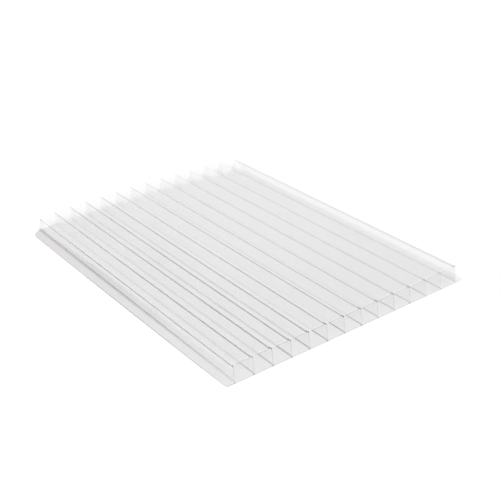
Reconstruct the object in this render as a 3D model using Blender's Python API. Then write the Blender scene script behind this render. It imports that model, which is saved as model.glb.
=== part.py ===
"""A sawn piece of clear twin-wall polycarbonate sheet, 10 mm thick, lying flat.

Blender 4.5 script, in metres. X runs across the flutes, Y along them and Z up. The origin is the
middle of the underside. The sheet is one extrusion: two skins joined by upright webs. The side cuts
took the upper skin off at the outermost webs and left the lower skin standing out beyond them as a
lip. The end cuts lean, so that the lower skin is also longer than the upper one, mostly at the back,
where the cut bows outward as well.
"""

import math

import bmesh
import bpy
from mathutils import Vector

MM = 0.001

# Section across the flutes
THICKNESS = 10.0 * MM
SKIN = 0.50 * MM
WEB = 0.45 * MM
WEB_PITCH = 11.0 * MM
WEB_COUNT = 14
ROOT_FILLET = 0.40 * MM
FILLET_STEPS = 3

# Lower skin beyond the middle of the outermost webs
LEFT_LIP = 5.5 * MM
RIGHT_LIP = 7.0 * MM

# Cut piece. A lean is how much shorter the upper face is than the underside at that end
LENGTH = 216.0 * MM
FRONT_LEAN = 0.5 * MM
BACK_LEAN = 4.5 * MM
BACK_BOW_RADIUS = 660.0 * MM
BACK_BOW_PLACE = 65.0 * MM
BOW_STEPS = 24

# Corners of the lower skin, seen from above
FRONT_LEFT_RADIUS = 2.5 * MM
FRONT_RIGHT_RADIUS = 4.0 * MM
BACK_LEFT_RADIUS = 9.0 * MM
BACK_RIGHT_RADIUS = 5.0 * MM
CORNER_STEPS = 8
ROUGH_MARGIN = 4.0 * MM

# Places worked out from the sizes above
WEB_SPAN = (WEB_COUNT - 1) * WEB_PITCH
WIDTH = LEFT_LIP + WEB_SPAN + RIGHT_LIP
LEFT_SIDE = -WIDTH / 2
RIGHT_SIDE = WIDTH / 2
FIRST_WEB = LEFT_SIDE + LEFT_LIP
FRONT = -LENGTH / 2
BACK = LENGTH / 2

POLYCARBONATE_COLOUR = (0.86, 0.87, 0.88, 1.0)
POLYCARBONATE_ROUGHNESS = 0.06
POLYCARBONATE_IOR = 1.585


def clear_scene():
    for found in list(bpy.data.objects):
        bpy.data.objects.remove(found, do_unlink=True)


def clear_polycarbonate():
    """Clear, faintly grey plastic with a gloss surface."""
    material = bpy.data.materials.new("clear_polycarbonate")
    material.use_nodes = True
    shader = material.node_tree.nodes["Principled BSDF"]
    shader.inputs["Base Color"].default_value = POLYCARBONATE_COLOUR
    shader.inputs["Roughness"].default_value = POLYCARBONATE_ROUGHNESS
    shader.inputs["Metallic"].default_value = 0.0
    shader.inputs["IOR"].default_value = POLYCARBONATE_IOR
    shader.inputs["Transmission Weight"].default_value = 1.0
    return material


def arc(centre, radius, start, steps):
    """Points of a quarter turn, anticlockwise from the angle start, in degrees."""
    turns = [math.radians(start + 90.0 * step / steps) for step in range(steps + 1)]
    return [(centre[0] + radius * math.cos(a), centre[1] + radius * math.sin(a)) for a in turns]


def rounded_outline(low, high, radii, steps):
    """Anticlockwise outline of a rectangle with rounded corners, radii given in the same order."""
    corners = (
        ((low[0], low[1]), (1, 1), 180.0),
        ((high[0], low[1]), (-1, 1), 270.0),
        ((high[0], high[1]), (-1, -1), 0.0),
        ((low[0], high[1]), (1, -1), 90.0),
    )
    points = []
    for (corner, inward, start), radius in zip(corners, radii):
        centre = (corner[0] + inward[0] * radius, corner[1] + inward[1] * radius)
        points += arc(centre, radius, start, steps)
    return points


def sheet_outline():
    """Anticlockwise outline of the section: the lower skin with its lips, and the block over it."""
    left_face = FIRST_WEB - WEB / 2
    right_face = FIRST_WEB + WEB_SPAN + WEB / 2
    right_root = arc((right_face + ROOT_FILLET, SKIN + ROOT_FILLET), ROOT_FILLET, 180.0, FILLET_STEPS)
    left_root = arc((left_face - ROOT_FILLET, SKIN + ROOT_FILLET), ROOT_FILLET, 270.0, FILLET_STEPS)
    return (
        [(LEFT_SIDE, 0.0), (RIGHT_SIDE, 0.0), (RIGHT_SIDE, SKIN)]
        + right_root[::-1]
        + [(right_face, THICKNESS), (left_face, THICKNESS)]
        + left_root[::-1]
        + [(LEFT_SIDE, SKIN)]
    )


def flute_outline(number):
    """Outline of the open flute between web number and the next."""
    left = FIRST_WEB + number * WEB_PITCH + WEB / 2
    right = left + WEB_PITCH - WEB
    return rounded_outline(
        (left, SKIN), (right, THICKNESS - SKIN), (ROOT_FILLET,) * 4, FILLET_STEPS
    )


def add_loop(mesh, points):
    """Adds a closed loop of edges across the flutes, just ahead of the front cut."""
    corners = [mesh.verts.new((x, FRONT - ROUGH_MARGIN, z)) for x, z in points]
    return [mesh.edges.new((a, b)) for a, b in zip(corners, corners[1:] + corners[:1])]


def extruded_sheet():
    """The section with its flutes, filled and drawn out, still a little longer than the cut piece."""
    mesh = bmesh.new()
    edges = add_loop(mesh, sheet_outline())
    for number in range(WEB_COUNT - 1):
        edges += add_loop(mesh, flute_outline(number))
    bmesh.ops.triangle_fill(mesh, use_beauty=True, edges=edges)
    drawn = bmesh.ops.extrude_face_region(mesh, geom=mesh.faces[:])
    moved = [item for item in drawn["geom"] if isinstance(item, bmesh.types.BMVert)]
    bmesh.ops.translate(mesh, vec=Vector((0.0, LENGTH + 2 * ROUGH_MARGIN, 0.0)), verts=moved)
    bmesh.ops.recalc_face_normals(mesh, faces=mesh.faces[:])
    return mesh


def back_edge(x):
    """How far back the lower edge of the bowed back cut lies at x."""
    return BACK - (x - LEFT_SIDE - BACK_BOW_PLACE) ** 2 / (2 * BACK_BOW_RADIUS)


def cut_outline(height):
    """Anticlockwise outline of the cut piece from above, at a height over the underside, lips and all."""
    front = FRONT + FRONT_LEAN * height / THICKNESS
    back_shift = -BACK_LEAN * height / THICKNESS
    right_end = RIGHT_SIDE - BACK_RIGHT_RADIUS
    left_end = LEFT_SIDE + BACK_LEFT_RADIUS
    right_centre = back_edge(right_end) + back_shift - BACK_RIGHT_RADIUS
    left_centre = back_edge(left_end) + back_shift - BACK_LEFT_RADIUS
    bow = [right_end + (left_end - right_end) * step / BOW_STEPS for step in range(1, BOW_STEPS)]
    front_left = (LEFT_SIDE + FRONT_LEFT_RADIUS, front + FRONT_LEFT_RADIUS)
    front_right = (RIGHT_SIDE - FRONT_RIGHT_RADIUS, front + FRONT_RIGHT_RADIUS)
    return (
        arc(front_left, FRONT_LEFT_RADIUS, 180.0, CORNER_STEPS)
        + arc(front_right, FRONT_RIGHT_RADIUS, 270.0, CORNER_STEPS)
        + arc((right_end, right_centre), BACK_RIGHT_RADIUS, 0.0, CORNER_STEPS)
        + [(x, back_edge(x) + back_shift) for x in bow]
        + arc((left_end, left_centre), BACK_LEFT_RADIUS, 90.0, CORNER_STEPS)
    )


def cutting_block():
    """The block that the drawn sheet is cut to. Its sides are the cuts, from below to above the sheet."""
    mesh = bmesh.new()
    rings = []
    for height in (-ROUGH_MARGIN, THICKNESS + ROUGH_MARGIN):
        rings.append([mesh.verts.new((x, y, height)) for x, y in cut_outline(height)])
    low, high = rings
    count = len(low)
    for number in range(count):
        after = (number + 1) % count
        mesh.faces.new((low[number], low[after], high[after], high[number]))
    mesh.faces.new(low[::-1])
    mesh.faces.new(high)
    bmesh.ops.recalc_face_normals(mesh, faces=mesh.faces[:])
    return mesh


def add_object(name, mesh):
    data = bpy.data.meshes.new(name)
    mesh.to_mesh(data)
    mesh.free()
    placed = bpy.data.objects.new(name, data)
    bpy.context.scene.collection.objects.link(placed)
    return placed


def twin_wall_sheet():
    """The finished piece: the drawn sheet, cut to the block."""
    sheet = add_object("twin_wall_sheet", extruded_sheet())
    sheet.data.materials.append(clear_polycarbonate())
    block = add_object("cutting_block", cutting_block())
    block.hide_render = True
    block.display_type = "WIRE"
    cuts = sheet.modifiers.new("cuts", "BOOLEAN")
    cuts.operation = "INTERSECT"
    cuts.solver = "EXACT"
    cuts.object = block
    return sheet


clear_scene()
twin_wall_sheet()
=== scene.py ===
"""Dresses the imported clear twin-wall sheet. Metres, +Z up, X across the flutes and Y along them."""

import math

import bmesh
import bpy
from mathutils import Matrix, Vector, noise
from mathutils.geometry import delaunay_2d_cdt


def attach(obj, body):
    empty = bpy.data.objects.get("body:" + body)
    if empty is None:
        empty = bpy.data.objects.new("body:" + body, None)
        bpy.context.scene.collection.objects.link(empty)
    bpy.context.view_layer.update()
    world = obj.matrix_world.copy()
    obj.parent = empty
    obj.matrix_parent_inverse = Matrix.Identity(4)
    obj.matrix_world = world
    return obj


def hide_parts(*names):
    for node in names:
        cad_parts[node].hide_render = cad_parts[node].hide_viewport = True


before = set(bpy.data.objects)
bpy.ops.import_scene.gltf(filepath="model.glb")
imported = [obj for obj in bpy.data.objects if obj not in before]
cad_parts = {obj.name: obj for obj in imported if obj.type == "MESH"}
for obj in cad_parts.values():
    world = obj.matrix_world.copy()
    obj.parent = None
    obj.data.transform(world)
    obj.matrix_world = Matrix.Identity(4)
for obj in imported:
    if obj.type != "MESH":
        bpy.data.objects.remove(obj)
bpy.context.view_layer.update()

# Camera and studio, in metres
CAMERA_PLACE = (-0.26818, -0.41848, 0.25769)
CAMERA_RIGHT = (0.81227, -0.58071, -0.05470)
CAMERA_DOWN = (-0.30672, -0.34549, -0.88688)
CAMERA_AHEAD = (0.49613, 0.73717, -0.45874)
LENS = 69.70
SENSOR = 36.0
NEAREST = 0.01
FARTHEST = 20.0
WORLD_LIGHT = 1.135
FLOOR_HALF = 6.0
FLOOR_DROP = 0.0002
FLOOR_TONE = 0.9
FLOOR_ROUGHNESS = 0.9
BOUNCES = 24
CLEAR_BOUNCES = 96

# Section of the sheet. Lengths from here on are millimetres, and webs are numbered from 0 at the left
MILLIMETRE = 0.001
THICKNESS = 10.0
SKIN = 0.50
WEB = 0.45
WEB_PITCH = 11.0
FIRST_WEB = -72.25
LAST_WEB = 13
ROOT_FILLET = 0.40
EDGE_FILLET = 0.06
SAG = 0.05

# Lips of the lower skin. The left one is given at places along the sheet
LEFT_LIP = (
    (-108.0, 4.7), (-98.0, 4.85), (-82.0, 5.1), (-50.0, 5.3),
    (-10.0, 5.55), (30.0, 5.65), (70.0, 5.7), (108.0, 5.8),
)
RIGHT_LIP = 7.0

# Cuts: where they lie, how they lean and bow, and the saw's uneven steps
HALF_LENGTH = 108.0
FRONT_CUT = -108.3
FRONT_LEAN = 0.8
BACK_LEAN = 4.5
BACK_CORNER_LEAN = 2.6
BACK_CORNER_X = 62.0
BACK_CORNER_REACH = 9.0
BOW_MIDDLE = -12.75
BOW_RADIUS = 660.0
CORNERS = {"front_left": 1.3, "front_right": 4.0, "back_left": 9.0, "back_right": 5.0}
SAW = 0.12
SAW_SCALE = (0.9, 0.5)
FRONT_SAW = 3.0
BACK_SAW = 8.0

# Fineness of the mesh
STATIONS = 48
STATION_EASE = 0.6
COLUMN = 1.0
LIP_COLUMNS = 14
ROOT_STEPS = 6
EDGE_STEPS = 3
CLEARANCE = 0.1
HAIR = 0.001
LEAST_LIP_SHARE = 0.08
TRIANGLES_INSIDE = 1
MERGE = 1e-5

# Share of light that each kind of face lets through. The underside's share holds the painted shade of the
# floor under the sheet as well as the plastic's own loss
UNDERSIDE_AND_SHADE = 0.775
FACE = 0.997
WEB_FACE = 0.993
LAST_WEB_FACE = 0.950


class Nodes:
    """Adds nodes to a tree. Values are numbers or sockets.

    A span is (start, end), and a band is (middle, half its width, how softly it ends).
    """

    def __init__(self, tree):
        self.tree = tree

    def put(self, kind, values=(), **settings):
        node = self.tree.nodes.new(kind)
        for name, value in settings.items():
            setattr(node, name, value)
        for socket, value in dict(values).items():
            self.give(node.inputs[socket], value)
        return node

    def give(self, socket, value):
        if isinstance(value, bpy.types.NodeSocket):
            self.tree.links.new(value, socket)
        else:
            socket.default_value = value

    def math(self, operation, *values, clamp=False):
        values = dict(enumerate(values))
        return self.put("ShaderNodeMath", values, operation=operation, use_clamp=clamp).outputs[0]

    def product(self, *values):
        result = values[0]
        for value in values[1:]:
            result = self.math("MULTIPLY", result, value)
        return result

    def total(self, *values):
        result = values[0]
        for value in values[1:]:
            result = self.math("ADD", result, value)
        return result

    def above(self, value, limit):
        return self.math("GREATER_THAN", value, limit)

    def below(self, value, limit):
        return self.math("LESS_THAN", value, limit)

    def line(self, value, slope, start):
        """start, and slope more for each 1 of the value."""
        return self.math("MULTIPLY_ADD", value, slope, start)

    def rest(self, share):
        """What is left of 1 when a share is taken away."""
        return self.math("SUBTRACT", 1.0, share)

    def rise(self, value, span):
        """0 at the span's start, 1 at its end and past it."""
        settings = {"Value": value, "From Min": span[0], "From Max": span[1]}
        return self.put("ShaderNodeMapRange", settings, clamp=True).outputs[0]

    def band(self, value, band):
        """1 inside the band and 0 outside it."""
        middle, half, soft = band
        off = self.math("ABSOLUTE", self.math("SUBTRACT", value, middle))
        return self.rise(off, (half + soft / 2, half - soft / 2))

    def curve(self, value, points):
        """A strength for each place between 0 and 1, straight between the points."""
        ramp = self.put("ShaderNodeValToRGB", {0: value})
        stops = ramp.color_ramp.elements
        while len(stops) < len(points):
            stops.new(0.5)
        for stop, (place, tone) in zip(stops, points):
            stop.position = place
        for stop, (place, tone) in zip(stops, points):
            stop.color = (tone, tone, tone, 1)
        return ramp.outputs[0]

    def choice(self, which, low, high):
        """low where which is 0, high where it is 1."""
        return self.put("ShaderNodeMix", {0: which, 2: low, 3: high}).outputs[0]

    def noise(self, vector, scale, detail):
        """Noise that is stretched by the scale of each direction."""
        stretched = self.put("ShaderNodeMapping", {0: vector, "Scale": scale}).outputs[0]
        values = {"Vector": stretched, "Scale": 1.0, "Detail": detail}
        return self.put("ShaderNodeTexNoise", values).outputs["Fac"]


def add_camera():
    data = bpy.data.cameras.new("camera")
    data.lens = LENS
    data.sensor_width = SENSOR
    data.clip_start = NEAREST
    data.clip_end = FARTHEST
    camera = bpy.data.objects.new("camera", data)
    bpy.context.scene.collection.objects.link(camera)
    turn = Matrix((CAMERA_RIGHT, [-v for v in CAMERA_DOWN], [-v for v in CAMERA_AHEAD])).transposed()
    camera.matrix_world = Matrix.Translation(CAMERA_PLACE) @ turn.to_4x4()
    bpy.context.scene.camera = camera


def add_floor():
    mesh = bpy.data.meshes.new("floor")
    s = FLOOR_HALF
    mesh.from_pydata([(-s, -s, 0), (s, -s, 0), (s, s, 0), (-s, s, 0)], [], [(0, 1, 2, 3)])
    floor = bpy.data.objects.new("floor", mesh)
    floor.location.z = -FLOOR_DROP
    bpy.context.scene.collection.objects.link(floor)
    material = bpy.data.materials.new("floor")
    material.use_nodes = True
    shader = material.node_tree.nodes["Principled BSDF"]
    shader.inputs["Base Color"].default_value = (FLOOR_TONE, FLOOR_TONE, FLOOR_TONE, 1)
    shader.inputs["Roughness"].default_value = FLOOR_ROUGHNESS
    shader.inputs["Specular IOR Level"].default_value = 0.0
    mesh.materials.append(material)


def add_lights():
    world = bpy.data.worlds.new("studio")
    world.use_nodes = True
    background = world.node_tree.nodes["Background"]
    background.inputs[0].default_value = (1.0, 1.0, 1.0, 1)
    background.inputs[1].default_value = WORLD_LIGHT
    scene = bpy.context.scene
    scene.world = world
    world.cycles.sampling_method = "NONE"
    scene.view_settings.view_transform = "Standard"
    scene.cycles.max_bounces = BOUNCES
    scene.cycles.transparent_max_bounces = CLEAR_BOUNCES


def between(points, place):
    """Straight between the points of a table."""
    for (a, low), (b, high) in zip(points, points[1:]):
        if place <= b:
            return low + (high - low) * max(0.0, (place - a) / (b - a))
    return points[-1][1]


def quarter(centre, radius, start, steps):
    turns = [math.radians(start + 90.0 * step / steps) for step in range(steps + 1)]
    return [(centre[0] + radius * math.cos(a), centre[1] + radius * math.sin(a)) for a in turns]


def columns(low, high):
    count = max(1, round((high - low) / COLUMN))
    return [low + (high - low) * number / count for number in range(count + 1)]


def plain(points):
    """Points of the section that don't follow the left lip."""
    return [(x, z, 0.0) for x, z in points]


def edge(x, z, start):
    return plain(quarter((x, z), EDGE_FILLET, start, EDGE_STEPS))


def root(x, z, start):
    return plain(quarter((x, z), ROOT_FILLET, start, ROOT_STEPS))


def outer_loop():
    """Outline of the section as (x, z, share of the left lip), anticlockwise."""
    left = FIRST_WEB - WEB / 2
    right = FIRST_WEB + LAST_WEB * WEB_PITCH + WEB / 2
    lip_end = FIRST_WEB + LAST_WEB * WEB_PITCH + RIGHT_LIP - EDGE_FILLET
    steps = range(1, LIP_COLUMNS + 1)
    shares = [math.sin(math.pi / 2 * step / LIP_COLUMNS) for step in steps]
    body = columns(left, right)
    lip = [right + (lip_end - right) * share for share in shares]
    on_lip = [x for x in lip[-2::-1] if x > right + ROOT_FILLET + CLEARANCE]
    loop = [(left, 0.0, share) for share in shares[::-1]]
    loop += plain((x, 0.0) for x in body + lip)
    loop += edge(lip_end, EDGE_FILLET, 270.0)[1:]
    loop += edge(lip_end, SKIN - EDGE_FILLET, 0.0)
    loop += plain((x, SKIN) for x in on_lip)
    loop += root(right + ROOT_FILLET, SKIN + ROOT_FILLET, 180.0)[::-1]
    loop += edge(right - EDGE_FILLET, THICKNESS - EDGE_FILLET, 0.0)
    loop += plain((x, THICKNESS) for x in body[-2:0:-1])
    loop += edge(left + EDGE_FILLET, THICKNESS - EDGE_FILLET, 90.0)
    loop += root(left - ROOT_FILLET, SKIN + ROOT_FILLET, 270.0)[::-1]
    loop += [(left - ROOT_FILLET, SKIN, share) for share in shares if share > LEAST_LIP_SHARE]
    return loop


def flute_loop(number):
    left = FIRST_WEB + number * WEB_PITCH + WEB / 2
    right = left + WEB_PITCH - WEB
    low, high = SKIN + ROOT_FILLET, THICKNESS - SKIN - ROOT_FILLET
    a, b = left + ROOT_FILLET, right - ROOT_FILLET
    loop = root(a, low, 180.0)
    loop += plain((x, SKIN) for x in columns(a, b)[1:-1])
    loop += root(b, low, 270.0) + root(b, high, 0.0)
    loop += plain((x, THICKNESS - SKIN) for x in columns(a, b)[-2:0:-1])
    loop += root(a, high, 90.0)
    return loop


def corner(x, side_left, side_right, radius_left, radius_right):
    """How far a rounded corner of the outline draws the end in at x."""
    into_left = side_left + radius_left - x
    into_right = x - side_right + radius_right
    for radius, depth in ((radius_left, into_left), (radius_right, into_right)):
        if depth > 0.0:
            return radius - math.sqrt(max(0.0, radius * radius - min(depth, radius) ** 2))
    return 0.0


def front_end(x, z, side_left, side_right):
    drawn_in = corner(x, side_left, side_right, CORNERS["front_left"], CORNERS["front_right"])
    return FRONT_CUT + FRONT_LEAN * z / THICKNESS + drawn_in


def back_end(x, z, side_left, side_right):
    held = min(max(x, side_left + CORNERS["back_left"]), side_right - CORNERS["back_right"])
    bowed = HALF_LENGTH - (held - BOW_MIDDLE) ** 2 / (2 * BOW_RADIUS)
    drawn_in = corner(x, side_left, side_right, CORNERS["back_left"], CORNERS["back_right"])
    lean = BACK_LEAN
    if z > SKIN + CLEARANCE:
        lean += BACK_CORNER_LEAN * max(0.0, (x - BACK_CORNER_X) / BACK_CORNER_REACH) ** 2
    return bowed - lean * z / THICKNESS - drawn_in


def section_place(point, y):
    """Place of a point of the section at y, with the lip's width there and the sag of the upper skin."""
    x, z, share = point
    if share > 0.0:
        lip_side = FIRST_WEB - between(LEFT_LIP, y)
        x += (lip_side - x) * share
    if z >= THICKNESS - HAIR:
        z -= SAG * 0.5 * (1.0 - math.cos(2 * math.pi * (x - FIRST_WEB) / WEB_PITCH))
    return x, z


def cut_faces(loops):
    """Triangles that fill the section between its outline and the flutes."""
    points, edges, owner = [], [], []
    for number, loop in enumerate(loops):
        start = len(points)
        points += [Vector(section_place(point, 0.0)) for point in loop]
        edges += [(start + step, start + (step + 1) % len(loop)) for step in range(len(loop))]
        owner += [number] * len(loop)
    found = delaunay_2d_cdt(points, edges, [], TRIANGLES_INSIDE, MERGE)
    triangles = [[found[3][vertex][0] for vertex in face] for face in found[2]]
    return [t for t in triangles if owner[t[0]] == 0 or len({owner[vertex] for vertex in t}) > 1]


def saw_step(x, z, seed):
    return SAW * noise.noise(Vector((x * SAW_SCALE[0], z * SAW_SCALE[1], seed)))


def cut_ends(points):
    """Where the front and the back cut lie at each point of the section."""
    near_left = FIRST_WEB - LEFT_LIP[0][1]
    far_left = FIRST_WEB - LEFT_LIP[-1][1]
    side_right = FIRST_WEB + LAST_WEB * WEB_PITCH + RIGHT_LIP
    ends = []
    for point in points:
        x, z = section_place(point, -HALF_LENGTH)
        near = front_end(x, z, near_left, side_right) + saw_step(x, z, FRONT_SAW)
        x, z = section_place(point, HALF_LENGTH)
        far = back_end(x, z, far_left, side_right) + saw_step(x, z, BACK_SAW)
        ends.append((near, far))
    return ends


def sheet_places(points):
    """The section's points at each station, with the stations closer together near the cuts."""
    ends = cut_ends(points)
    places = []
    for station in range(STATIONS + 1):
        part = station / STATIONS
        part = part - math.sin(2 * math.pi * part) / (2 * math.pi) * STATION_EASE
        for point, (near, far) in zip(points, ends):
            y = near + (far - near) * part
            x, z = section_place(point, y)
            places.append((x * MILLIMETRE, y * MILLIMETRE, z * MILLIMETRE))
    return places


def sheet_faces(loops, size):
    """Faces along the sheet and on both cuts, where each station has size points."""
    faces = []
    start = 0
    for loop in loops:
        for number in range(len(loop)):
            a, b = start + number, start + (number + 1) % len(loop)
            for station in range(STATIONS):
                here, there = station * size, (station + 1) * size
                faces.append((here + a, here + b, there + b, there + a))
        start += len(loop)
    cap = cut_faces(loops)
    faces += [tuple(corners) for corners in cap]
    faces += [tuple(STATIONS * size + number for number in corners) for corners in cap]
    return faces


def fine_sheet():
    """The sheet once more, with rounder roots and edges, the lip's real width and the saw's small steps."""
    loops = [outer_loop()] + [flute_loop(number) for number in range(LAST_WEB)]
    points = [point for loop in loops for point in loop]
    data = bpy.data.meshes.new("fine_sheet")
    data.from_pydata(sheet_places(points), [], sheet_faces(loops, len(points)))
    mesh = bmesh.new()
    mesh.from_mesh(data)
    bmesh.ops.recalc_face_normals(mesh, faces=mesh.faces[:])
    mesh.to_mesh(data)
    mesh.free()
    piece = bpy.data.objects.new("fine_sheet", data)
    bpy.context.scene.collection.objects.link(piece)
    return piece


# Which way the kinds of face look, from 0 to 1, and where they and the parts of the sheet lie
LEVEL = 0.9
UPRIGHT = 0.9
LIP_UPRIGHT = 0.8
AT_END = 0.70
AT_SIDE = 0.5
TOP_Z = 9.75
UNDER_Z = 0.2
HALF_PITCH = 0.5
LIP_EDGE_PLACE = -0.3
FIRST_REACH = 0.2
LAST_REACH = 0.1
LIP_START = 0.01
OUTER_FACE_BAND = (-WEB / 2, 0.06, 0.02)

# Small unevenness along the flutes
LONG_GRAIN_SCALE = (0.9, 0.03, 0.5)
LONG_GRAIN_DETAIL = 3.0
UNEVEN = 0.5
UNEVEN_LEAST = 0.75


class Places:
    """Where a point lies and what kind of face it is on, as sockets. Lengths are millimetres.

    Place counts web pitches from the first web, web is the number of the nearest web, from 0, and u is how
    far to the right of that web the point lies. Across and along go from 0 to 1, over the webs from left to
    right and over the length from front to back.
    """

    def __init__(self, n):
        coords = n.put("ShaderNodeTexCoord")
        scaled = {0: coords.outputs["Object"], "Scale": 1 / MILLIMETRE}
        self.mm = n.put("ShaderNodeVectorMath", scaled, operation="SCALE").outputs[0]
        self.x, self.y, self.z = n.put("ShaderNodeSeparateXYZ", {0: self.mm}).outputs
        normal = n.put("ShaderNodeSeparateXYZ", {0: coords.outputs["Normal"]}).outputs
        sideways, lengthwise, upwards = [n.math("ABSOLUTE", part) for part in normal]

        # The nearest web, and u, the place across it
        self.place = n.math("DIVIDE", n.math("SUBTRACT", self.x, FIRST_WEB), WEB_PITCH)
        nearest = n.math("MAXIMUM", n.math("ROUND", self.place), 0.0)
        self.web = n.math("MINIMUM", nearest, float(LAST_WEB))
        self.u = n.math("MULTIPLY", n.math("SUBTRACT", self.place, self.web), WEB_PITCH)
        self.across = n.math("DIVIDE", self.web, float(LAST_WEB))
        self.along = n.rise(self.y, (-HALF_LENGTH, HALF_LENGTH))

        # Kinds of face
        level = n.above(upwards, LEVEL)
        self.top = n.product(level, n.above(self.z, TOP_Z))
        self.under = n.product(level, n.below(self.z, UNDER_Z))
        self.end = n.above(lengthwise, AT_END)
        self.near_end = n.product(self.end, n.below(self.y, 0.0))
        self.side = n.below(lengthwise, AT_SIDE)
        self.upright = n.above(sideways, UPRIGHT)
        self.lip_edge = n.product(n.above(sideways, LIP_UPRIGHT), n.below(self.place, LIP_EDGE_PLACE))

        # Parts of the sheet
        self.leftward = n.below(self.u, 0.0)
        self.first = n.below(self.place, FIRST_REACH)
        self.not_first = n.above(self.place, FIRST_REACH)
        self.inner = n.below(self.web, LAST_WEB - HALF_PITCH)
        self.from_last = n.above(self.place, LAST_WEB - LAST_REACH)
        self.right_web = n.product(self.from_last, n.below(self.place, LAST_WEB + LAST_REACH))
        self.right_lip = n.above(self.place, LAST_WEB + LIP_START)
        self.left_of_lip = n.below(self.place, LAST_WEB)
        self.outer = n.product(self.upright, self.first, n.band(self.u, OUTER_FACE_BAND))

        # Unevenness
        self.long_grain = n.noise(self.mm, LONG_GRAIN_SCALE, LONG_GRAIN_DETAIL)
        self.uneven = n.line(self.long_grain, UNEVEN, UNEVEN_LEAST)


# Painted shade: dark line beside the top of each web, and the one on the outer face of the first web
LINE = 0.50
LINE_BAND = (-1.10, 0.42, 0.45)
LINE_WANDER = 0.25
LINE_SHIFT = -0.20
LINE_SHIFT_ALONG = (0.60, 0.92)
LINE_ACROSS = (
    (0.0, 0.84), (0.08, 0.90), (0.24, 0.93), (0.40, 0.76),
    (0.60, 0.54), (0.80, 0.29), (0.93, 0.11), (1.0, 0.50),
)
LINE_ALONG = ((0.0, 1.0), (0.28, 0.98), (0.5, 0.87), (0.8, 0.70), (0.93, 0.62), (1.0, 0.25))
OUTER_LINE = 0.48
OUTER_LINE_Z = (9.02, 0.38, 0.4)
OUTER_LINE_ALONG = (
    (0.0, 0.72), (0.2, 0.95), (0.5, 1.0), (0.72, 0.92),
    (0.86, 0.75), (0.93, 0.6), (1.0, 0.5),
)


def root_shade_lines(n, at):
    """Painted shade where each web's root turns the light away."""
    wander = n.math("MULTIPLY", n.math("SUBTRACT", at.long_grain, 0.5), LINE_WANDER)
    u = n.line(n.rise(at.along, LINE_SHIFT_ALONG), LINE_SHIFT, n.total(at.u, wander))
    strength = n.product(n.curve(at.across, LINE_ACROSS), n.curve(at.along, LINE_ALONG))
    line = n.product(n.band(u, LINE_BAND), at.top, strength, at.uneven, LINE)
    outer_line = n.product(at.outer, n.band(at.z, OUTER_LINE_Z), at.uneven)
    outer_line = n.product(outer_line, n.curve(at.along, OUTER_LINE_ALONG), OUTER_LINE)
    return line, outer_line


# Painted shade at the foot of each web on the lower skin, darker on the first web and where the flute is
# open at the front, and at the root of the left lip
FOOT = 0.20
FOOT_BAND = (0.0, 0.6, 0.2)
FOOT_Z = 0.80
FOOT_HEIGHT = (0.0, 0.33, 0.4)
FOOT_FADE_ALONG = (1.5, 0.4)
FOOT_ACROSS = (
    (0.0, 0.62), (0.13, 0.63), (0.23, 0.93), (0.32, 0.83), (0.385, 0.34), (0.46, 0.20), (0.54, 0.46),
    (0.62, 0.29), (0.70, 0.28), (0.78, 0.28), (0.85, 0.38), (0.93, 0.31), (1.0, 0.165),
)
FIRST_FOOT_RAISE = 0.14
FIRST_FOOT_ALONG = (
    (0.0, 0.16), (0.15, 0.25), (0.22, 0.31), (0.30, 0.35),
    (0.45, 0.38), (0.64, 0.41), (0.8, 0.38), (1.0, 0.33),
)
OPEN_FOOT = 0.62
OPEN_FOOT_Z = (0.86, 0.20, 0.3)
OPEN_FOOT_Y = (-102.2, 5.7, 1.0)
OPEN_FOOT_ACROSS = (
    (0.0, 0.54), (0.154, 0.57), (0.23, 0.73), (0.31, 0.72), (0.385, 0.98), (0.46, 0.98), (0.54, 0.62),
    (0.62, 0.64), (0.77, 0.53), (0.92, 0.41), (1.0, 0.28),
)
LIP_ROOT = 0.15
LIP_ROOT_BAND = (-0.75, 0.45, 0.6)
LIP_ROOT_Z = (0.55, 0.2, 0.1)
LIP_ROOT_ALONG = (0.1, 0.6)


def foot_shade(n, at):
    """Painted shade where the webs stand on the lower skin, and at the root of the left lip."""
    at_web = n.product(n.band(at.u, FOOT_BAND), at.side)
    height = n.math("SUBTRACT", at.z, n.line(at.first, FIRST_FOOT_RAISE, FOOT_Z))
    strength = n.product(n.curve(at.across, FOOT_ACROSS), n.rise(at.along, FOOT_FADE_ALONG), FOOT)
    strength = n.choice(at.first, strength, n.curve(at.along, FIRST_FOOT_ALONG))
    foot = n.product(n.band(height, FOOT_HEIGHT), at_web, strength)

    open_foot = n.product(n.band(at.z, OPEN_FOOT_Z), at_web, at.leftward, n.band(at.y, OPEN_FOOT_Y))
    open_foot = n.product(open_foot, at.not_first, n.curve(at.across, OPEN_FOOT_ACROSS), OPEN_FOOT)

    lip_root = n.product(n.band(at.u, LIP_ROOT_BAND), n.below(at.place, 0.0), n.band(at.z, LIP_ROOT_Z))
    lip_root = n.product(lip_root, n.rise(at.along, LIP_ROOT_ALONG), LIP_ROOT)
    return foot, open_foot, lip_root


# Painted reflection on the lower part of the first web, where it mirrors the lip, and painted shade on the
# edge of that lip
MIRROR_TOP = 6.1
MIRROR_FALL = -2.9
MIRROR_FALL_Y = (18.0, 82.0)
MIRROR_EDGE = (-0.5, 0.5)
MIRROR_BASE_Z = (0.8, 1.6)
MIRROR_ALONG = (
    (0.0, 0.01), (0.2, 0.04), (0.36, 0.085), (0.5, 0.115),
    (0.65, 0.13), (0.8, 0.12), (0.9, 0.09), (1.0, 0.03),
)
LIP_EDGE_ALONG = ((0.0, 0.05), (0.03, 0.25), (0.2, 0.45), (0.38, 0.62), (0.6, 0.50), (1.0, 0.30))


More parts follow.
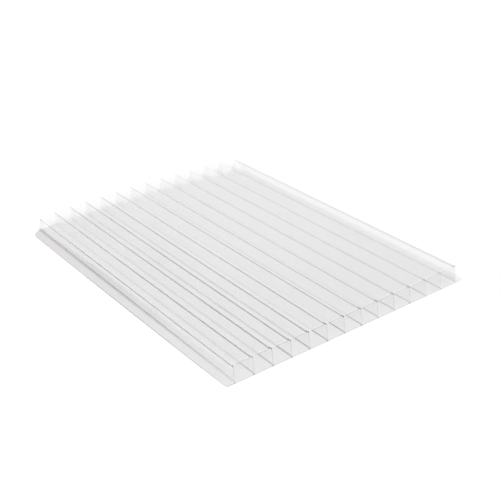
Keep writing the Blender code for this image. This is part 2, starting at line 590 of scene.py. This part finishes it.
def mirrored_lip(n, at):
    """The painted reflection ends in a slope, which falls towards the back."""
    upper_end = n.line(n.rise(at.y, MIRROR_FALL_Y), MIRROR_FALL, MIRROR_TOP)
    below_end = n.rise(n.math("SUBTRACT", upper_end, at.z), MIRROR_EDGE)
    return n.product(below_end, n.rise(at.z, MIRROR_BASE_Z), at.outer, n.curve(at.along, MIRROR_ALONG))


def lip_edge(n, at):
    # Painted shade on the upright edge face of the left lip, strongest a little before the middle of its
    # length
    return n.product(at.lip_edge, n.curve(at.along, LIP_EDGE_ALONG))


# Front cut: painted shade on the edges of the upper skin, of the webs and of the lower skin
SKIN_EDGE = 0.42
SKIN_EDGE_Z = (9.42, 0.34, 0.1)
SKIN_EDGE_GAP = (1.0, 0.60, 0.4)
SKIN_EDGE_ACROSS = (2.0, 0.3)
SKIN_EDGE_X = (78.0, 58.0)
WEB_EDGE_BAND = (0.08, 0.22, 0.15)
WEB_EDGE_Z = (-2.5, 7.0)
WEB_EDGE_TOP_Z = (9.4, 9.2)
WEB_EDGE_ACROSS = (
    (0.0, 0.20), (0.10, 0.22), (0.20, 0.28), (0.45, 0.27),
    (0.60, 0.22), (0.70, 0.20), (1.0, 0.07),
)
BASE_EDGE = 0.36
BASE_EDGE_FALL = -0.20
BASE_EDGE_Z = (0.0, 0.26, 0.15)


def cut_edges(n, at):
    # Painted shade on the front cut faces, as a small bevel would be shaded
    gap = n.rest(n.band(at.u, SKIN_EDGE_GAP))
    skin_edge = n.product(at.near_end, n.band(at.z, SKIN_EDGE_Z), n.rise(at.across, SKIN_EDGE_ACROSS))
    skin_edge = n.product(skin_edge, gap, n.rise(at.x, SKIN_EDGE_X), SKIN_EDGE)

    web_edge = n.product(at.near_end, n.band(at.u, WEB_EDGE_BAND), n.rise(at.z, WEB_EDGE_Z))
    web_edge = n.product(web_edge, n.rise(at.z, WEB_EDGE_TOP_Z), at.inner)
    web_edge = n.product(web_edge, n.curve(at.across, WEB_EDGE_ACROSS))

    base_edge = n.product(at.near_end, n.band(at.z, BASE_EDGE_Z))
    base_edge = n.product(base_edge, n.line(at.across, BASE_EDGE_FALL, BASE_EDGE))
    return skin_edge, web_edge, base_edge


# Front cut: painted shade in dark dots at the roots, and where the painted dark lines end on the upper skin
UPPER_ROOT_BAND = (-0.42, 0.48, 0.3)
UPPER_ROOT_Z = (9.38, 0.46, 0.25)
UPPER_ROOT_ACROSS = (
    (0.0, 0.74), (0.077, 0.48), (0.154, 0.85), (0.23, 0.76), (0.31, 1.0), (0.46, 0.98), (0.54, 0.88),
    (0.69, 0.84), (0.77, 0.76), (0.846, 0.44), (0.92, 0.32), (1.0, 0.3),
)
LOWER_ROOT_BAND = (-0.08, 0.42, 0.3)
LOWER_ROOT_Z = (0.18, 0.34, 0.25)
LOWER_ROOT_ACROSS = (
    (0.0, 0.66), (0.08, 0.90), (0.16, 0.62), (0.23, 0.95), (0.31, 0.85), (0.46, 0.95), (0.54, 0.90),
    (0.62, 0.72), (0.93, 0.66), (1.0, 0.4),
)
LINE_END = 0.74
LINE_END_BAND = (-0.78, 0.50, 0.3)
LINE_END_Y = (-107.25, 0.65, 0.4)
LAST_END = 0.85
LAST_END_BAND = (-1.15, 0.32, 0.3)
LAST_END_Y = (-107.1, 0.42, 0.4)
LAST_END_REACH = 0.2


def root_dots(n, at):
    # Painted shade at the roots and at the ends of the dark lines
    strength = n.curve(at.across, UPPER_ROOT_ACROSS)
    upper_root = n.product(at.near_end, n.band(at.u, UPPER_ROOT_BAND), n.band(at.z, UPPER_ROOT_Z), strength)
    line_end = n.product(at.top, n.band(at.u, LINE_END_BAND), n.band(at.y, LINE_END_Y), strength, LINE_END)

    lower_root = n.product(at.near_end, n.band(at.u, LOWER_ROOT_BAND), n.band(at.z, LOWER_ROOT_Z))
    lower_root = n.product(lower_root, at.inner, n.curve(at.across, LOWER_ROOT_ACROSS))

    last_end = n.product(at.top, n.band(at.u, LAST_END_BAND), n.band(at.y, LAST_END_Y))
    last_end = n.product(last_end, n.above(at.place, LAST_WEB - LAST_END_REACH), LAST_END)
    return upper_root, lower_root, line_end, last_end


# Painted shade over the far end of the upper skin, and on the upper root of the last web
FAR_SHADE_SHIFT_X = 10.6
FAR_SHADE_SHIFT_Y = 20.3
FAR_SHADE_EDGE = (5.5, -1.0)
FAR_SHADE_Y = (82.0, 104.0)
FAR_SHADE_ALONG = (
    (0.0, 0.135), (0.18, 0.115), (0.27, 0.10), (0.36, 0.082),
    (0.45, 0.056), (0.55, 0.042), (0.75, 0.028), (1.0, 0.016),
)
LOBE_BAND = (1.2, 1.5, 2.5)
LOBE_GAIN = 0.90
LOBE_LOSS = -0.45
LOBE_X = (14.0, 46.0)
FAR_SHADE_RIGHT_X = (66.0, 57.0)
FAR_SHADE_RIGHT = 0.20
LAST_ROOT = 0.035
LAST_ROOT_Z = (8.75, 0.45, 0.9)
LAST_ROOT_Y = (97.0, 92.0)


def past_cut(n, at, shift_x, shift_y):
    """How far the lower skin still reaches, up to its bowed back cut, from a place shifted by so much."""
    off = n.math("ADD", at.x, shift_x - BOW_MIDDLE)
    cut = n.line(n.math("MULTIPLY", off, off), -0.5 / BOW_RADIUS, HALF_LENGTH)
    return n.math("SUBTRACT", n.math("SUBTRACT", cut, at.y), shift_y)


def far_shade(n, at):
    # Painted shade in a soft grey band that follows the bowed back cut of the lower skin
    past = past_cut(n, at, FAR_SHADE_SHIFT_X, FAR_SHADE_SHIFT_Y)
    shade_band = n.product(at.top, n.rise(past, FAR_SHADE_EDGE), n.curve(n.rise(at.y, FAR_SHADE_Y), FAR_SHADE_ALONG))
    lobe = n.line(n.band(at.u, LOBE_BAND), LOBE_GAIN, LOBE_LOSS)
    right = n.line(n.rise(at.x, FAR_SHADE_RIGHT_X), 1.0 - FAR_SHADE_RIGHT, FAR_SHADE_RIGHT)
    shade_band = n.product(shade_band, n.line(n.rise(at.x, LOBE_X), lobe, 1.0), right)

    last_root = n.product(at.upright, n.band(at.z, LAST_ROOT_Z), at.from_last)
    last_root = n.product(last_root, n.rise(at.y, LAST_ROOT_Y), LAST_ROOT)
    return n.total(shade_band, last_root)


# Painted light and shade under the sheet: where the underside lets through more than its even share, and
# the painted shade along the left lip
LIP_LIGHT = 0.165
LIP_LIGHT_U = (0.0, 6.8)
HALF_LIGHT = 0.020
HALF_LIGHT_ALONG = (0.22, 0.5)
HALF_LIGHT_ACROSS = (0.25, 0.5)
BACK_LIGHT = 0.055
BACK_LIGHT_EDGE = (5.5, -1.0)
BACK_LIGHT_X = (-70.0, -56.0)
BACK_RIGHT = 0.09
BACK_RIGHT_X = (76.0, 66.0)
BACK_FLUTE = 0.05
BACK_FLUTE_X = (60.0, 7.0, 6.0)
BACK_RIM = 0.045
BACK_RIM_EDGE = (6.0, 0.0)
FRONT_LIGHT = 0.018
FRONT_LIGHT_START = -95.0
FRONT_LIGHT_START_ACROSS = -8.0
FRONT_LIGHT_FULL = -104.0
FRONT_LIGHT_FULL_ACROSS = -3.0
LIP_SHADE_U = -0.3
LIP_SHADE_ALONG = ((0.0, -0.05), (0.05, -0.015), (0.2, 0.0), (0.5, 0.03), (1.0, 0.055))


def underside(n, at):
    """Share of light that the underside lets through, with painted shade under the sheet that is lighter
    over the right lip, over the right and far half, near the back cut and near the front, and on the left
    lip lighter at the front and darker towards the back.
    """
    beyond = n.product(at.right_lip, n.rise(at.u, LIP_LIGHT_U))
    half_light = n.product(n.rise(at.along, HALF_LIGHT_ALONG), n.rise(at.across, HALF_LIGHT_ACROSS))

    to_cut = past_cut(n, at, 0.0, 0.0)
    back_right = n.product(n.rise(at.x, BACK_RIGHT_X), BACK_RIGHT)
    back_flute = n.product(n.band(at.x, BACK_FLUTE_X), BACK_FLUTE)
    back_light = n.product(n.rise(to_cut, BACK_LIGHT_EDGE), n.total(BACK_LIGHT, back_right, back_flute))
    back_light = n.line(n.rise(to_cut, BACK_RIM_EDGE), BACK_RIM, back_light)

    start = n.line(at.across, FRONT_LIGHT_START_ACROSS, FRONT_LIGHT_START)
    full = n.line(at.across, FRONT_LIGHT_FULL_ACROSS, FRONT_LIGHT_FULL)
    front_light = n.rise(at.y, (start, full))

    lip_shade = n.product(at.first, n.below(at.u, LIP_SHADE_U), n.curve(at.along, LIP_SHADE_ALONG))
    # Painted light added to the even painted shade, less the painted shade on the left lip
    share = n.total(
        n.line(beyond, LIP_LIGHT, UNDERSIDE_AND_SHADE),
        n.product(half_light, at.left_of_lip, HALF_LIGHT),
        n.product(back_light, n.rise(at.x, BACK_LIGHT_X)),
        n.product(front_light, at.left_of_lip, FRONT_LIGHT),
    )
    return n.math("SUBTRACT", share, lip_shade)


# Painted shade and painted light on the faces of the webs near their ends
FAR_LOSS = 0.022
FAR_LOSS_Y = (94.0, 97.0)
LAST_FAR_GAIN = 0.040
LAST_FAR_GAIN_Y = (88.0, 95.0)
LAST_NEAR_LOSS = 0.008
LAST_NEAR_LOSS_Y = (-94.0, -98.0)
LAST_NEAR_LOSS_Z = (9.0, 7.0)
OPEN_WALL_LOSS = 0.014
OPEN_WALL_SLOPE = 0.8
OPEN_WALL_EDGE = (-76.7, -77.7)
OPEN_WALL_Z = (0.9, 1.5)


def web_faces(n, at):
    """Share of light that the faces of the webs let through, with painted shade near their ends and painted
    light near the back on the last web.
    """
    even = n.choice(at.right_web, WEB_FACE, LAST_WEB_FACE)
    far_loss = n.product(n.rise(at.y, FAR_LOSS_Y), n.line(at.first, FAR_LOSS, FAR_LOSS))
    far_gain = n.product(at.right_web, n.rise(at.y, LAST_FAR_GAIN_Y), LAST_FAR_GAIN)
    near_loss = n.product(at.right_web, n.rise(at.y, LAST_NEAR_LOSS_Y), n.rise(at.z, LAST_NEAR_LOSS_Z))
    near_loss = n.product(near_loss, LAST_NEAR_LOSS)
    open_wall = n.rise(n.line(at.y, OPEN_WALL_SLOPE, at.z), OPEN_WALL_EDGE)
    open_wall = n.product(open_wall, at.leftward, at.not_first, n.rise(at.z, OPEN_WALL_Z), OPEN_WALL_LOSS)
    loss = n.total(n.math("SUBTRACT", far_loss, far_gain), near_loss, open_wall)
    return n.math("SUBTRACT", even, loss)


def let_through(n, at):
    """Share of light that each face lets through where it has no mark, with the painted shade of the
    underside and of the web ends in it.
    """
    face = n.choice(at.upright, FACE, web_faces(n, at))
    return n.choice(at.under, face, underside(n, at))


# Faint warm and violet tone, in clouds on the left half and along the left edge
CLOUD_SCALE = (0.05, 0.02, 0.05)
CLOUD_DETAIL = 1.0
CLOUD_SPAN = (0.50, 0.62)
CLOUD = 0.5
CLOUD_X = (30.0, -40.0)
CLOUD_EDGE_X = (-72.0, -69.0)
LEFT_EDGE_X = (-66.0, -72.0)
LEFT_EDGE_ALONG = (0.30, 0.62)
GREEN_LOSS = 0.022
BLUE_LOSS = 0.012
BLUE_GAIN = 0.004


def coloured(n, at, tone, mirror):
    """The tone as a colour, with less green and blue in places."""
    cloud = n.rise(n.noise(at.mm, CLOUD_SCALE, CLOUD_DETAIL), CLOUD_SPAN)
    cloud = n.product(cloud, n.rise(at.x, CLOUD_X), n.rise(at.x, CLOUD_EDGE_X), CLOUD)
    left_edge = n.product(n.rise(at.x, LEFT_EDGE_X), n.rise(at.along, LEFT_EDGE_ALONG))
    hue = n.product(n.math("MAXIMUM", cloud, left_edge), n.math("MAXIMUM", at.under, mirror))
    green = n.product(tone, n.line(hue, -GREEN_LOSS, 1.0))
    blue = n.product(tone, n.line(hue, -BLUE_LOSS, 1.0), n.line(at.under, BLUE_GAIN, 1.0))
    return n.put("ShaderNodeCombineColor", {0: tone, 1: green, 2: blue}).outputs[0]


# White haze everywhere a little and on the sawn edges, and painted highlights in the light lines, on the
# front edges, on the first web and in small bright glints
HAZE = 0.004
SAWN_HAZE = 0.03
OFF_ROOT_BAND = (-0.55, 0.55, 0.3)
LIGHT_LINE = 0.08
LIGHT_LINE_BAND = (0.10, 0.40, 0.3)
LIGHT_LINE_ALONG = (0.82, 0.35)
FRONT_LINE = 0.10
FRONT_LINE_RISE = 0.10
FRONT_LINE_Y = (-107.05, 0.45, 0.3)
FRONT_LINE_X = (78.0, 58.0)
UPPER_EDGE = 0.30
UPPER_EDGE_Z = (9.72, 9.80)
UPPER_EDGE_X = (80.0, 58.0)
FIRST_LINE = 0.26
FIRST_LINE_FALL = -0.18
FIRST_LINE_FALL_Y = (10.0, 50.0)
FIRST_LINE_Z = (7.1, 0.8, 0.9)
GLINT = 0.35
GLINT_BAND = (0.45, 0.22, 0.15)
GLINT_Z = (9.75, 0.35, 0.2)
FIRST_GLINT = 0.30
FIRST_GLINT_Z = (7.9, 0.45, 0.4)
FIRST_GLINT_Y = (-105.8, 0.9, 0.6)


def haze_and_highlights(n, at):
    """Share of a face that shows white plastic: haze, and painted highlights."""
    off_root = n.rest(n.band(at.u, OFF_ROOT_BAND))
    # Painted highlights beside the roots, along the front of the upper skin, on the top of the front cut
    # and on the outer face of the first web
    light_line = n.product(n.band(at.u, LIGHT_LINE_BAND), at.top, at.uneven)
    light_line = n.product(light_line, n.rise(at.along, LIGHT_LINE_ALONG), LIGHT_LINE)

    front_line = n.product(at.top, n.band(at.y, FRONT_LINE_Y), n.rise(at.x, FRONT_LINE_X), off_root)
    front_line = n.product(front_line, n.line(at.across, FRONT_LINE_RISE, FRONT_LINE))
    upper_edge = n.product(at.near_end, n.rise(at.z, UPPER_EDGE_Z), n.rise(at.x, UPPER_EDGE_X))
    upper_edge = n.product(upper_edge, off_root, UPPER_EDGE)

    first_line = n.line(n.rise(at.y, FIRST_LINE_FALL_Y), FIRST_LINE_FALL, FIRST_LINE)
    first_line = n.product(at.outer, n.band(at.z, FIRST_LINE_Z), first_line)
    # Painted glints on the front cut and on the first web
    glint = n.product(at.near_end, n.band(at.u, GLINT_BAND), n.band(at.z, GLINT_Z), GLINT)
    first_glint = n.product(at.outer, n.band(at.z, FIRST_GLINT_Z), n.band(at.y, FIRST_GLINT_Y), FIRST_GLINT)

    sawn = n.product(at.end, SAWN_HAZE)
    return n.total(HAZE, light_line, front_line, upper_edge, first_line, glint, first_glint, sawn)


# Gloss, and the plastic that the haze and the gloss show
GLOSS = 0.30
GLOSS_IOR = 1.45
PLASTIC_IOR = 1.585
PLASTIC_TONE = 0.93
ROUGHNESS = 0.04
GRAIN_ROUGHNESS = 0.10
SAWN_ROUGHNESS = 0.4
GRAIN_SCALE = (2.0, 0.02, 2.0)
GRAIN_DETAIL = 3.0
BUMP = 0.08
BUMP_DEPTH = 0.0002


def gloss(n):
    """Share of a face that reflects, on its outer side only."""
    facing = n.put("ShaderNodeFresnel", {"IOR": GLOSS_IOR}).outputs[0]
    front = n.rest(n.put("ShaderNodeNewGeometry").outputs["Backfacing"])
    return n.product(facing, front, GLOSS)


def dress_plastic(n, at, plastic):
    """Sets the plastic's own tone, and its roughness and bump, which follow a grain along the flutes."""
    grain = n.noise(at.mm, GRAIN_SCALE, GRAIN_DETAIL)
    roughness = n.line(grain, GRAIN_ROUGHNESS, n.line(at.end, SAWN_ROUGHNESS, ROUGHNESS))
    bump = n.put("ShaderNodeBump", {"Height": grain, "Strength": BUMP, "Distance": BUMP_DEPTH})
    plastic.inputs["Base Color"].default_value = (PLASTIC_TONE, PLASTIC_TONE, PLASTIC_TONE, 1)
    plastic.inputs["IOR"].default_value = PLASTIC_IOR
    n.give(plastic.inputs["Roughness"], roughness)
    n.give(plastic.inputs["Normal"], bump.outputs[0])


def clear_polycarbonate():
    """Clear faces with painted shade, a painted reflection and painted highlights, a share of haze and
    gloss, and no shadow.
    """
    material = bpy.data.materials.new("clear_polycarbonate_visual")
    material.use_nodes = True
    tree = material.node_tree
    n = Nodes(tree)
    at = Places(n)

    mirror = mirrored_lip(n, at)
    # Painted shade and the painted reflection darken the clear faces
    marks = [*root_shade_lines(n, at), *foot_shade(n, at), mirror, *cut_edges(n, at), *root_dots(n, at)]
    marks += [lip_edge(n, at), far_shade(n, at)]
    tone = n.product(let_through(n, at), *[n.rest(mark) for mark in marks])
    clear = n.put("ShaderNodeBsdfTransparent", {"Color": coloured(n, at, tone, mirror)})

    plastic = tree.nodes["Principled BSDF"]
    dress_plastic(n, at, plastic)
    share = n.math("ADD", haze_and_highlights(n, at), gloss(n), clamp=True)
    surface = n.put("ShaderNodeMixShader", {0: share, 1: clear.outputs[0], 2: plastic.outputs[0]})

    # Lamps and the floor's own light pass straight through
    path = n.put("ShaderNodeLightPath").outputs
    passing = n.math("MAXIMUM", path["Is Shadow Ray"], path["Is Diffuse Ray"])
    open_air = n.put("ShaderNodeBsdfTransparent")
    whole = n.put("ShaderNodeMixShader", {0: passing, 1: surface.outputs[0], 2: open_air.outputs[0]})
    n.give(tree.nodes["Material Output"].inputs["Surface"], whole.outputs[0])
    return material


def dress():
    piece = fine_sheet()
    piece.data.materials.append(clear_polycarbonate())
    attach(piece, "root")
    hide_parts("twin_wall_sheet")


add_camera()
add_floor()
add_lights()
dress()
bpy.context.view_layer.update()
